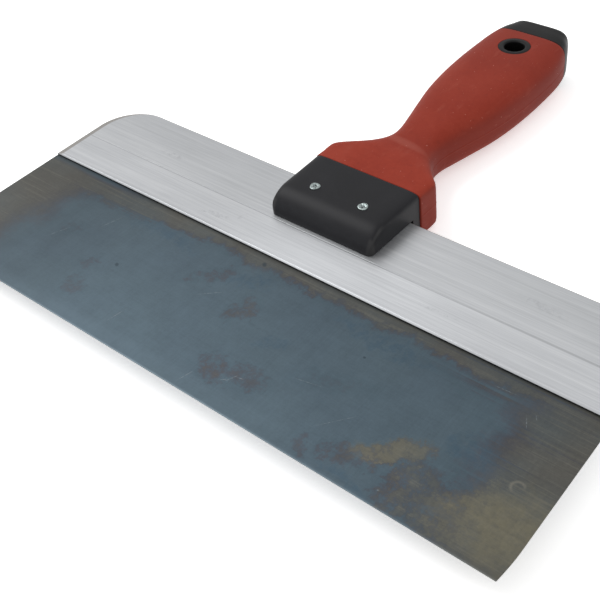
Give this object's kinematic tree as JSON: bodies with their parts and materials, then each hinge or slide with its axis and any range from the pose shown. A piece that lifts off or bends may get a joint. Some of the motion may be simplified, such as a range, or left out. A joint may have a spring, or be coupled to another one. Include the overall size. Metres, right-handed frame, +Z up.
{
  "type": "drywall taping knife",
  "caption": "Wide thin steel blade held in an aluminium backing, with a riveted soft-grip handle and a hang hole near its butt, for spreading joint compound",
  "frame": {"origin": "the middle of the bounding box in X and Y, at the lowest point of the handle, which is the surface the knife lies on", "axes": "X runs along the blade's width, +Y from the working edge to the butt of the handle, +Z up, square to the blade's face"},
  "size_m": [0.3048, 0.2904, 0.0281],
  "materials": {
    "blued_steel": "blue tempered, satin, with olive and bronze temper tints",
    "backing_aluminium": "brushed along its length",
    "black_plastic": "satin",
    "red_grip": "matte",
    "rivet_steel": "bright plated"
  },
  "bodies": {
    "root": {"blade": "blued_steel", "backing": "backing_aluminium", "handle_core": "black_plastic", "soft_grip": "red_grip", "rivet_left": "rivet_steel", "rivet_right": "rivet_steel"}
  },
  "joints": []
}
